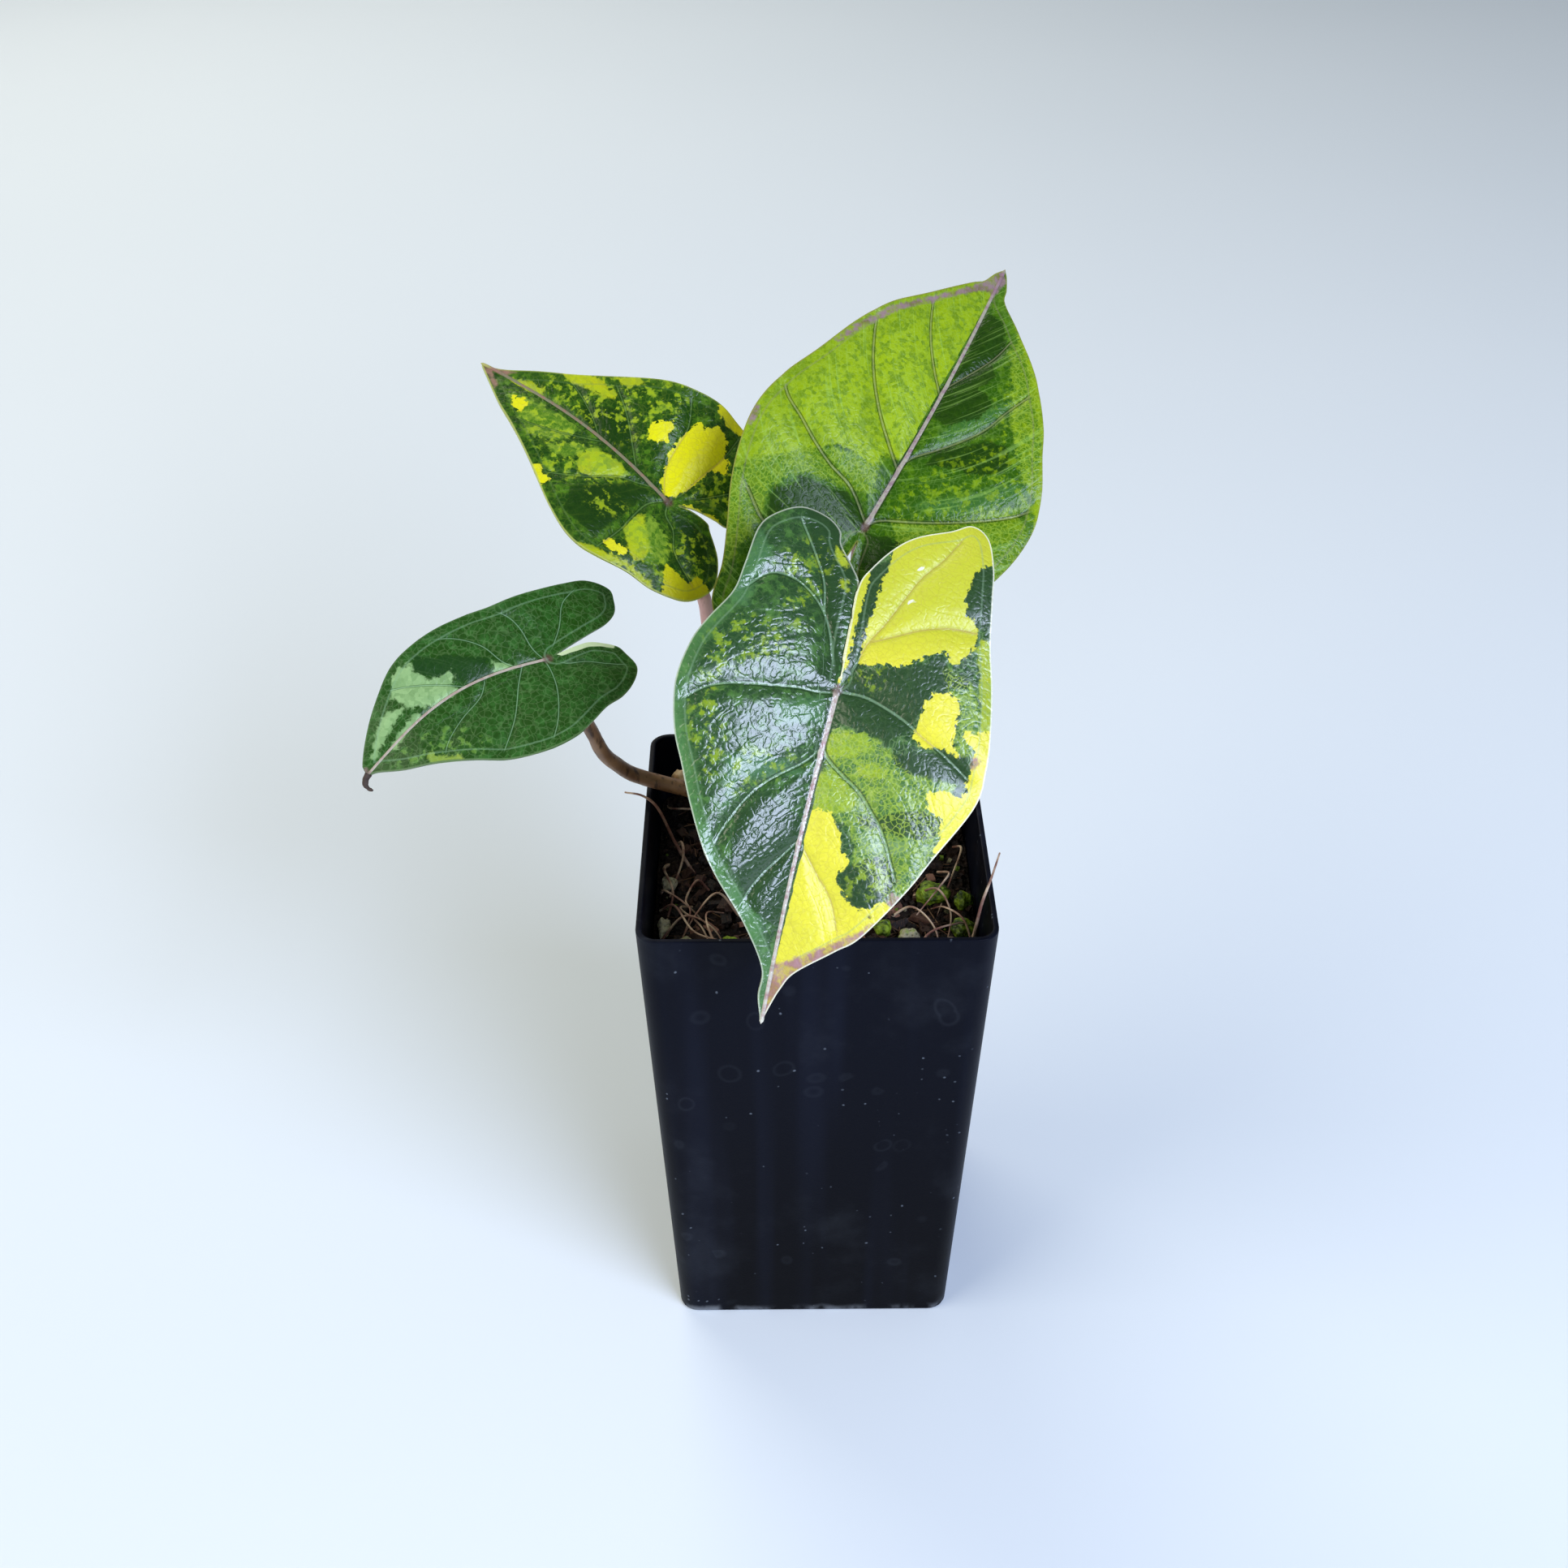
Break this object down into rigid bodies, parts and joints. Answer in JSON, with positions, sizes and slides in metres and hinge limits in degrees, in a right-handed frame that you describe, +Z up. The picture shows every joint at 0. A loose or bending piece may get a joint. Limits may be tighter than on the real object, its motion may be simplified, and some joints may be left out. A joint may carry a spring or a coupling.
{
  "type": "potted variegated alocasia plant",
  "caption": "Young elephant-ear house plant with yellow and green variegated arrowhead leaves on arching stalks, in a tall tapered square black nursery pot of potting mix.",
  "frame": {"origin": "centre of the pot's base, on the surface that it stands on", "axes": "+Z up; -Y towards the side that the large front leaf hangs over; +X to the right seen from there"},
  "size_m": [0.1205, 0.1135, 0.1894],
  "materials": {
    "pot_plastic": "satin black moulded plastic with dust and water marks",
    "potting_mix": "damp dark peat and bark, rough",
    "stem": "fibrous tan and pink leaf sheaths, dull",
    "dry_stub": "dry tan plant fibre, dull",
    "green_pumice": "porous stone green with algae",
    "pale_pumice": "porous pale stone",
    "leaf_stalk": "smooth pink-brown plant stalk, soft sheen",
    "front_leaf": "glossy leaf, half dark green and half yellow",
    "upper_leaf": "satin lime-green leaf with dark green patches",
    "back_leaf": "satin dark green leaf speckled yellow",
    "low_leaf": "satin dark green leaf with a pale patch"
  },
  "bodies": {
    "root": {"pot": "pot_plastic", "potting_mix": "potting_mix", "stem": "stem", "old_leaf_stub": "dry_stub", "pumice_grain_1": "green_pumice", "pumice_grain_2": "green_pumice", "pumice_grain_3": "green_pumice", "pumice_grain_4": "green_pumice", "pumice_grain_5": "pale_pumice", "pumice_grain_6": "pale_pumice", "pumice_grain_7": "pale_pumice", "pumice_grain_8": "green_pumice", "pumice_grain_9": "pale_pumice", "pumice_grain_10": "green_pumice", "pumice_grain_11": "pale_pumice", "front_leaf_stalk": "leaf_stalk", "front_leaf_blade": "front_leaf", "upper_leaf_stalk": "leaf_stalk", "upper_leaf_blade": "upper_leaf", "back_leaf_stalk": "leaf_stalk", "back_leaf_blade": "back_leaf", "low_leaf_stalk": "leaf_stalk", "low_leaf_blade": "low_leaf"}
  },
  "joints": []
}
